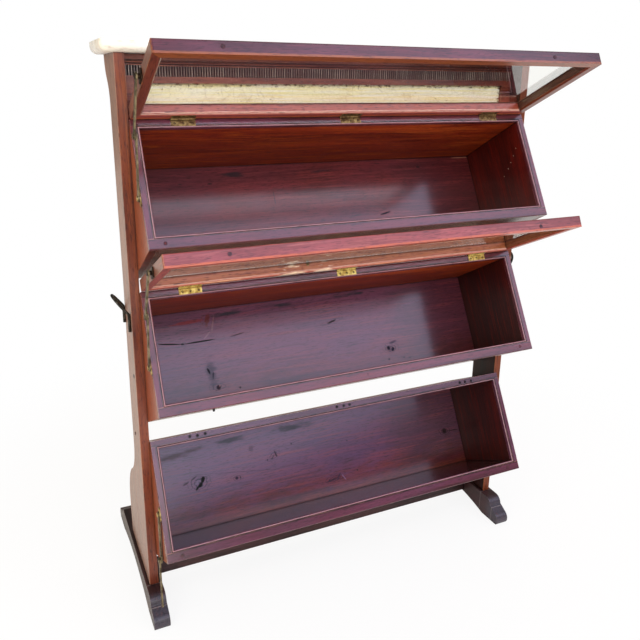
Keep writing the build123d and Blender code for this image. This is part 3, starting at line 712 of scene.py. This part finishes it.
def agedBrass(name, look):
    material, tree = startMaterial(name)
    own = addNode(tree, "TexCoord", out="Object")
    patch = mottle(tree, own, (look["patch"],) * 3, 4.0, 0.6)
    scratch = mottle(tree, own, brassScratch, 2.0)
    hollow = addNode(tree, "AmbientOcclusion", {"Distance": brassCrevice * mm}, out="AO", samples=4)
    colour = tintOver(tree, look["tarnish"], look["bright"], patch, (0.38, 0.62))
    colour = tintOver(tree, colour, look["dark"], patch, (0.28, 0.42, look["low"], 0))
    colour = tintOver(tree, colour, look["dark"], hollow, (0.5, 0.95, 0.9, 0))
    bump = addNode(tree, "Bump", {"Strength": 0.2, "Distance": 0.1 * mm, "Height": scratch})
    share = addNode(tree, "MapRange", (patch, 0.3, 0.7, 0.52, 0.34), **soft)
    shader = addNode(tree, "BsdfPrincipled", {
        "Base Color": colour, "Metallic": 0.75, "Roughness": share, "Normal": bump,
    })
    addNode(tree, "OutputMaterial", {"Surface": shader})
    return material


# forged iron wire, blacked by heat and rusted in a few places

ironLook = {"black": "#2b2924", "bright": "#6a675e", "rust": "#5a3a22", "patch": 14}


def forgedIron(look):
    material, tree = startMaterial("forgedIron")
    own = addNode(tree, "TexCoord", out="Object")
    patch = mottle(tree, own, (look["patch"],) * 3, 4.0, 0.65)
    colour = tintOver(tree, look["black"], look["bright"], patch, (0.5, 0.7))
    colour = tintOver(tree, colour, look["rust"], patch, (0.3, 0.42, 0.6, 0))
    bump = addNode(tree, "Bump", {"Strength": 0.35, "Distance": 0.3 * mm, "Height": patch})
    share = addNode(tree, "MapRange", (patch, 0.3, 0.7, 0.55, 0.4), **soft)
    shader = addNode(tree, "BsdfPrincipled", {
        "Base Color": colour, "Metallic": 0.85, "Roughness": share, "Normal": bump,
    })
    addNode(tree, "OutputMaterial", {"Surface": shader})
    return material


# planed reeds on the strip under the cornice: the valleys painted dark as shade, the crests rubbed grey

reedLook = {"low": "#160c0a", "body": "#4c342e", "crest": "#c4b4a4", "reeds": 174, "grey": (60, 8, 14)}


def planedReeds(look, low, high):
    material, tree = startMaterial("planedReeds")
    own = addNode(tree, "TexCoord", out="Object")
    x = addNode(tree, "SeparateXYZ", {0: own})
    step = (high.x - low.x) / look["reeds"]
    part = addNode(tree, "Math", (x, low.x), operation="SUBTRACT")
    count = addNode(tree, "Math", (part, 1 / step), operation="MULTIPLY")
    part = addNode(tree, "Math", (count,), operation="FRACT")
    part = addNode(tree, "Math", (part, 0.5), operation="SUBTRACT")
    across = addNode(tree, "Math", (part,), operation="ABSOLUTE")
    number = addNode(tree, "Math", (count,), operation="FLOOR")
    chance = addNode(tree, "TexWhiteNoise", {"W": number}, "Value", noise_dimensions="1D")
    grey = mottle(tree, own, look["grey"], 3.0)
    colour = tintOver(tree, look["body"], look["low"], across, (0.12, 0.42))
    share = addNode(tree, "MapRange", (across, 0.16, 0.02), **soft)
    reedWear = addNode(tree, "MapRange", (chance, 0.1, 0.9, 0.15, 0.85), **soft)
    crest = addNode(tree, "Math", (share, reedWear), operation="MULTIPLY")
    share = addNode(tree, "MapRange", (grey, 0.3, 0.6, 0.3, 1.0), **soft)
    crest = addNode(tree, "Math", (crest, share), operation="MULTIPLY")
    colour = addNode(tree, "Mix", {0: crest, 6: colour, 7: look["crest"]}, **ofColours)
    shader = addNode(tree, "BsdfPrincipled", {
        "Base Color": colour, "Roughness": 0.5, "IOR": 1.5, "Coat Weight": 0.4, "Coat Roughness": 0.25,
    })
    addNode(tree, "OutputMaterial", {"Surface": shader})
    return material


brasses = {name: agedBrass("agedBrass_" + name, look) for name, look in brassLooks.items()}
iron = forgedIron(ironLook)
glass = sheetGlass(glassLook)
marble = polishedMarble(marbleLook)
paint = agedPaint("brushedCreamPaint", signLook)
putty = thumbedPutty(puttyLook)
reeds = planedReeds(reedLook, *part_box("reeded_strip"))


woodEndings = {
    "free_rail": "LidFree", "hinge_rail": "LidHinge", "lid_stiles": "LidStiles", "bin_top_rail": "Face",
    "bin_bottom_rail": "Face", "bin_stiles": "FaceStiles", "bin_end_left": "Ends", "bin_end_right": "Ends",
    "bin_back": "Back", "bin_top": "Roof", "bin_floor": "Floor",
}


def nodeMaterial(name):
    level = name.split("_")[0]
    if name.startswith("upright"):
        return woods["uprightLeft" if name.endswith("left") else "uprightRight"]
    if name.startswith("foot"):
        return woods["feet"]
    if name == "bottom_stretcher":
        return woods["stretcher"]
    if name == "marble_top":
        return marble
    if name == "sign_panel":
        return paint
    if name == "side_hooks":
        return iron
    if name == "reeded_strip":
        return reeds
    if name.endswith("_glass"):
        return glass
    if name.endswith("_leaves"):
        return brasses[level + "Leaves"]
    if name.endswith("_bracket"):
        return brasses["bracket"]
    if name == "hinge_pins":
        return brasses["upperLeaves"]
    if name == "stay_pivots":
        return brasses["knuckles"]
    if "_stay_" in name:
        return brasses["arms"]
    if level in levels:
        for ending, wood in woodEndings.items():
            if name.endswith(ending):
                return woods[level + wood]
    return woods["frieze"]


for name, node in frame["nodes"].items():
    for slot in node.material_slots:
        slot.material = nodeMaterial(name)
print("materials made:", len(bpy.data.materials))


# slotted countersunk screws, sunk flush in the brass, with their slots turned as they stopped

screwSize = {"radius": 3.1, "height": 0.9, "rim": 0.22, "crown": 0.25, "slotHalf": 0.35, "slotDeep": 0.45,
             "sunk": 0.62, "astray": 0.4}


def makeScrew(size):
    clearSelection()
    bpy.ops.mesh.primitive_cylinder_add(vertices=24, radius=size["radius"] * mm, depth=size["height"] * mm,
                                        location=(0, 0, 0))
    screw = bpy.context.object
    bpy.ops.object.mode_set(mode="EDIT")
    bpy.ops.mesh.select_mode(type="FACE")
    chooseFaces(lambda face: face.normal.z > 0.9)
    bpy.ops.mesh.inset(thickness=size["radius"] * size["rim"] * mm)
    bpy.ops.transform.translate(value=(0, 0, size["crown"] * mm))
    for side in (-1, 1):
        bpy.ops.mesh.select_all(action="SELECT")
        bpy.ops.mesh.bisect(plane_co=(side * size["slotHalf"] * mm, 0, 0), plane_no=(1, 0, 0))
    slotHalf = size["slotHalf"] * mm
    chooseFaces(lambda face: face.normal.z > 0.3 and abs(face.calc_center_median().x) < slotHalf)
    bpy.ops.mesh.extrude_region_move(TRANSFORM_OT_translate={"value": (0, 0, -size["slotDeep"] * mm)})
    bpy.ops.object.mode_set(mode="OBJECT")
    return screw


screw = makeScrew(screwSize)
hingeMiddles = (-375, 0, 375)
leafScrews = (-17.5, 0, 18)
screwRow = faceUp - 9.5


def quarter():
    return Matrix.Rotation(random.uniform(0, math.pi), 4, "Z")


def rowSpot():
    # how high a screw of the hinge leaves sits, a little astray
    return screwRow + random.uniform(-screwSize["astray"], screwSize["astray"])


def sunk(x, y, z, lean=Matrix()):
    # a screw in a face that looks along +Z, or turned to look another way
    return spot(x, y, z) @ lean @ spot(0, 0, -screwSize["sunk"]) @ quarter()


lookDown = Matrix.Rotation(math.pi, 4, "X")
lookLeft = Matrix.Rotation(math.radians(-90), 4, "Y")
stayUp = faceUp - 157.7  # where the stays' screws sit up the bins' ends and the lids' sides
standScrews = []
for level in lidLevels:
    inLid = []
    for middle in hingeMiddles:
        for offset in leafScrews:
            standScrews.append(binPlace(level) @ sunk(middle + offset, rowSpot(), 0))
            inLid.append(lidPlace(level) @ sunk(middle + offset, rowSpot(), 0.3, lookDown))
    for rise in (-9.5, 9.5):
        inLid.append(lidPlace(level) @ sunk(-lidHalf - 2.5, stayUp + rise, 12.3, lookLeft))
    sendOut(screw, inLid, level + "_lid_screws", level + "_lid", [brasses["screws"]])
for level in levels:
    for rise in (-10.5, 10.5):
        standScrews.append(binPlace(level) @ sunk(-binHalf - 2.0, stayUp + rise, -9, lookLeft))
sendOut(screw, standScrews, "stand_screws", "stand", [brasses["screws"]])
print("screws set:", len(standScrews) + len(lidLevels) * len(inLid))


# wooden plugs over the fixing screws, pared off by chisel and shrunk hollow since

plugSize = {"radius": 4.0, "proud": 0.04, "deep": 1.6, "rim": 0.5, "rise": 0.05, "flat": 1.6,
            "lean": (0.2, 0, -0.06)}
plugLook = {"heart": "#20080c", "body": "#4a1e24", "light": "#6a3840", "streaks": 0.5, "bloom": "#3c1820",
            "bloomed": 0.4, "bare": "#5c2c30", "worn": 0.3, "dirt": 1.0, "shellac": 0.4, "haze": 0.3,
            "open": 0.3}


def makePlug(size):
    clearSelection()
    bpy.ops.mesh.primitive_cylinder_add(vertices=20, radius=size["radius"] * mm, depth=size["deep"] * mm,
                                        location=(0, 0, (size["proud"] - size["deep"] / 2) * mm))
    plug = bpy.context.object
    bpy.ops.object.mode_set(mode="EDIT")
    bpy.ops.mesh.select_mode(type="FACE")
    chooseFaces(lambda face: face.normal.z > 0.9)
    bpy.ops.mesh.inset(thickness=size["rim"] * mm, depth=size["rise"] * mm)
    bpy.ops.mesh.inset(thickness=size["flat"] * mm)
    bpy.ops.transform.translate(value=[step * mm for step in size["lean"]])
    bpy.ops.object.mode_set(mode="OBJECT")
    return plug


plug = makePlug(plugSize)
plugWood = polishedMahogany("chiselledMahogany_plugs", plugLook, Matrix(), alongY)
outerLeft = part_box("upright_left")[0].x / mm
binPlugs = ((-446, 11), (444, 11.5))
uprightPlugs = ((58.2, 438.8), (21.1, 596.9))
standPlugs = [binPlace("bottom") @ spot(x, y, 0) for x, y in binPlugs]
standPlugs += [spot(outerLeft, y + standFront / mm, z) @ lookLeft for y, z in uprightPlugs]
sendOut(plug, standPlugs, "stand_plugs", "stand", [plugWood])
lidPlugs = {"upper": ((-359.7, 15.1), (350.1, 13)), "middle": ((-357.6, 15.3), (359.1, 10.8))}
lookAhead = Matrix.Rotation(math.radians(90), 4, "X")
for level, places in lidPlugs.items():
    inLid = [lidPlace(level) @ spot(x, 0, z) @ lookAhead for x, z in places]
    sendOut(plug, inLid, level + "_lid_plugs", level + "_lid", [plugWood])
print("plugs set:", len(standPlugs) + 2 * len(lidPlugs))


# the bottom bin's old hinge holes, stopped with black wax that has sunk a little

waxLook = {"heart": "#040203", "body": "#0a0506", "light": "#120a0a", "streaks": 0.3, "bloom": "#0a0506",
           "bloomed": 0.2, "bare": "#2a1814", "worn": 0.2, "dirt": 0.5, "shellac": 0.2, "haze": 0.4,
           "open": 0.3}
oldHoles = ((-390.7, 257.6), (-373, 256.2), (-354.5, 257.3), (-17.2, 257.4), (1.9, 256.9), (18.2, 256.7),
            (353.9, 255.8), (370.9, 255.4), (390.7, 254.8))
wax = polishedMahogany("sunkBlackWax", waxLook, Matrix(), alongY)
shrink = Matrix.Diagonal((0.72, 0.72, 2, 1))
waxed = [binPlace("bottom") @ spot(x, y, 0) @ shrink for x, y in oldHoles]
sendOut(plug, waxed, "old_hinge_holes", "stand", [wax])
nub = binPlace("middle") @ spot(-365.7, 0, -5) @ lookAhead @ Matrix.Diagonal((0.6, 0.6, 6, 1))
sendOut(plug, [nub], "old_pin", "stand", [wax])
print("old holes stopped:", len(waxed))

# drips of the sign's paint that dried on the upper bin's right end
drips = ((186.4, -29.4), (172.2, -43.6), (160, -58), (149.3, -72.8), (136.5, -93.4))
dripLook = {**signLook, "cream": "#a8806c", "pale": "#bc988a", "stain": "#7c5040"}
driedDrips = agedPaint("driedPaintDrips", dripLook)
fleck = Matrix.Diagonal((0.2, 0.32, 1.5, 1))
specks = [binPlace("upper") @ spot(binHalf - 15, y, z) @ lookLeft @ fleck for y, z in drips]
sendOut(plug, specks, "paint_specks", "stand", [driedDrips])


# the putty bead that holds each pane, smoothed to a slope with a thumb

puttySize = {"long": 2 * (lidHalf - 14.5), "wide": faceUp - 29, "band": 7.2, "thick": 2.2, "seat": 23.8,
             "foot": 0.6}


def makePutty(level, size):
    clearSelection()
    bpy.ops.mesh.primitive_plane_add(size=1, location=(0, 0, 0))
    bead = bpy.context.object
    bead.name = level + "_lid_putty"
    bpy.ops.object.mode_set(mode="EDIT")
    bpy.ops.mesh.select_mode(type="FACE")
    bpy.ops.mesh.select_all(action="SELECT")
    bpy.ops.transform.resize(value=(size["long"] * mm, size["wide"] * mm, 1))
    bpy.ops.mesh.inset(thickness=size["band"] * mm)
    bpy.ops.mesh.delete(type="FACE")
    bpy.ops.mesh.select_all(action="SELECT")
    bpy.ops.mesh.extrude_region_move(TRANSFORM_OT_translate={"value": (0, 0, size["thick"] * mm)})
    bpy.ops.mesh.select_mode(type="EDGE")
    innerX = (size["long"] / 2 - size["band"] + 0.1) * mm
    innerY = (size["wide"] / 2 - size["band"] + 0.1) * mm

    def inner(corner):
        return corner.co.z > 1 * mm and abs(corner.co.x) < innerX and abs(corner.co.y) < innerY

    chooseEdges(lambda edge: all(inner(corner) for corner in edge.verts))
    bpy.ops.transform.translate(value=(0, 0, (size["foot"] - size["thick"]) * mm))
    bpy.ops.mesh.select_all(action="SELECT")
    bpy.ops.mesh.subdivide(number_cuts=3)
    bpy.ops.mesh.normals_make_consistent(inside=False)
    bpy.ops.object.mode_set(mode="OBJECT")
    bead.data.transform(lidPlace(level) @ spot(0, faceUp / 2, size["seat"]))
    bead.data.materials.append(putty)
    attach(bead, level + "_lid")


for level in lidLevels:
    makePutty(level, puttySize)
print("putty beads made")


# the middle lid's catch: a turned button on a washer, at the edge of the hinge rail

catchSize = {"radius": 3.6, "thick": 0.8, "rim": 0.5, "rise": 0.3, "dish": 0.5, "nub": 1.2, "stands": 2.2,
             "dome": 0.4, "x": -104, "z": 17}


def makeCatch(size):
    clearSelection()
    bpy.ops.mesh.primitive_cylinder_add(vertices=28, radius=size["radius"] * mm, depth=size["thick"] * mm,
                                        location=(0, 0, size["thick"] / 2 * mm))
    catch = bpy.context.object
    catch.name = "middle_lid_catch"
    bpy.ops.object.mode_set(mode="EDIT")
    bpy.ops.mesh.select_mode(type="FACE")
    chooseFaces(lambda face: face.normal.z > 0.9)
    bpy.ops.mesh.inset(thickness=size["rim"] * mm, depth=size["rise"] * mm)
    bpy.ops.mesh.inset(thickness=(size["radius"] - size["rim"] - size["nub"]) * mm, depth=-size["dish"] * mm)
    bpy.ops.mesh.extrude_region_move(TRANSFORM_OT_translate={"value": (0, 0, size["stands"] * mm)})
    bpy.ops.mesh.inset(thickness=size["rim"] * mm, depth=size["dome"] * mm)
    bpy.ops.object.mode_set(mode="OBJECT")
    wall = spot(size["x"], faceUp - 20.5, size["z"]) @ lookAhead
    catch.data.transform(lidPlace("middle") @ wall)
    catch.data.materials.append(brasses["upperLeaves"])
    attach(catch, "middle_lid")


makeCatch(catchSize)
print("catch made")


# floor, light and camera

def seenDirectly(tree):
    # 1 for what the camera sees, also through glass
    rays = [addNode(tree, "LightPath", out=kind) for kind in ("Is Camera Ray", "Is Transmission Ray")]
    return addNode(tree, "Math", rays, operation="MAXIMUM")


stageLook = {"floor": "#f4f3f1", "near": 0.88, "nearEnd": 0.7, "farStart": 1.7, "world": "#fff6ea",
             "worldLevel": 0.8, "mirrored": 0.2, "half": 9.0}


def makeStage(look):
    clearSelection()
    bpy.ops.mesh.primitive_plane_add(size=2 * look["half"], location=(0, 0, 0))
    floor = bpy.context.object
    floor.name = "floor"
    material, tree = startMaterial("paleFloor")
    lit = addNode(tree, "BsdfDiffuse", {"Color": look["floor"]})
    white = addNode(tree, "Emission", {"Color": "#ffffff", "Strength": 1.0})
    # the floor goes over to plain white away from the cabinet, so that no horizon shows
    own = addNode(tree, "TexCoord", out="Object")
    away = addNode(tree, "VectorMath", {0: own}, "Value", operation="LENGTH")
    lift = addNode(tree, "MapRange", (away, look["nearEnd"], look["farStart"], look["near"], 1.0), **soft)
    share = addNode(tree, "Math", (seenDirectly(tree), lift), operation="MULTIPLY")
    mixed = addNode(tree, "MixShader", {0: share, 1: lit, 2: white})
    addNode(tree, "OutputMaterial", {"Surface": mixed})
    floor.data.materials.append(material)
    world = bpy.data.worlds.new("studio")
    world.use_nodes = True
    tree = world.node_tree
    tree.nodes.clear()
    # reflections see a dimmer room, as polished wood does indoors and under trees
    glossy = addNode(tree, "LightPath", out="Is Glossy Ray")
    level = addNode(tree, "MapRange", (glossy, 0.0, 1.0, look["worldLevel"], look["mirrored"]), **soft)
    plain = addNode(tree, "Background", {"Color": look["world"], "Strength": level})
    seen = addNode(tree, "Background", {"Color": "#ffffff", "Strength": 1.0})
    seenBy = seenDirectly(tree)
    mixed = addNode(tree, "MixShader", {0: seenBy, 1: plain, 2: seen})
    addNode(tree, "OutputWorld", {"Surface": mixed})
    bpy.context.scene.world = world


# the broad bluish lamp stands where the tilted faces mirror it towards the camera
lamps = {
    "sky": {"place": (1.5, -3.1, 3.3), "power": 108, "size": (4.5, 3.0), "colour": (0.68, 0.70, 1.0)},
    "key": {"place": (-2.6, -1.8, 2.4), "power": 44, "size": (1.6, 1.6), "colour": (1.0, 0.95, 0.86)},
    "low": {"place": (-0.9, -3.4, 1.5), "power": 30, "size": (1.8, 1.2), "colour": (1.0, 0.96, 0.88)},
}


def makeLamps():
    for name, look in lamps.items():
        bpy.ops.object.light_add(type="AREA", location=look["place"])
        lamp = bpy.context.object
        lamp.name = name
        lamp.data.shape = "RECTANGLE"
        lamp.data.energy = look["power"]
        lamp.data.color = look["colour"]
        lamp.data.size, lamp.data.size_y = look["size"]
        lamp.visible_camera = False
        towards = Vector((0, 0, 0.75)) - lamp.location
        lamp.rotation_euler = towards.to_track_quat("-Z", "Y").to_euler()


# the photograph's camera, solved from the long straight edges; places are from the uprights' front edges
photo = {"side": 640, "focal": 670.1, "centreX": 303.6, "centreY": 282.1,
         "place": (-0.71015, -1.3603, 1.20958), "yaw": 23.99, "pitch": 16.38, "roll": 0.40}


def makeCamera(look):
    bpy.ops.object.camera_add()
    camera = bpy.context.object
    camera.location = Vector(look["place"]) + Vector((0, standFront, 0))
    turn = Euler((math.radians(90 - look["pitch"]), 0, -math.radians(look["yaw"]))).to_matrix()
    camera.rotation_euler = (turn @ Matrix.Rotation(math.radians(look["roll"]), 3, "Z")).to_euler()
    camera.data.sensor_width = 36
    camera.data.lens = look["focal"] * 36 / look["side"]
    camera.data.shift_x = (look["side"] / 2 - look["centreX"]) / look["side"]
    camera.data.shift_y = (look["centreY"] - look["side"] / 2) / look["side"]
    bpy.context.scene.camera = camera


for model in (screw, plug):
    bpy.data.objects.remove(model)
makeStage(stageLook)
makeLamps()
makeCamera(photo)
print("stage, lamps and camera made")

bpy.context.scene.view_settings.view_transform = "Standard"
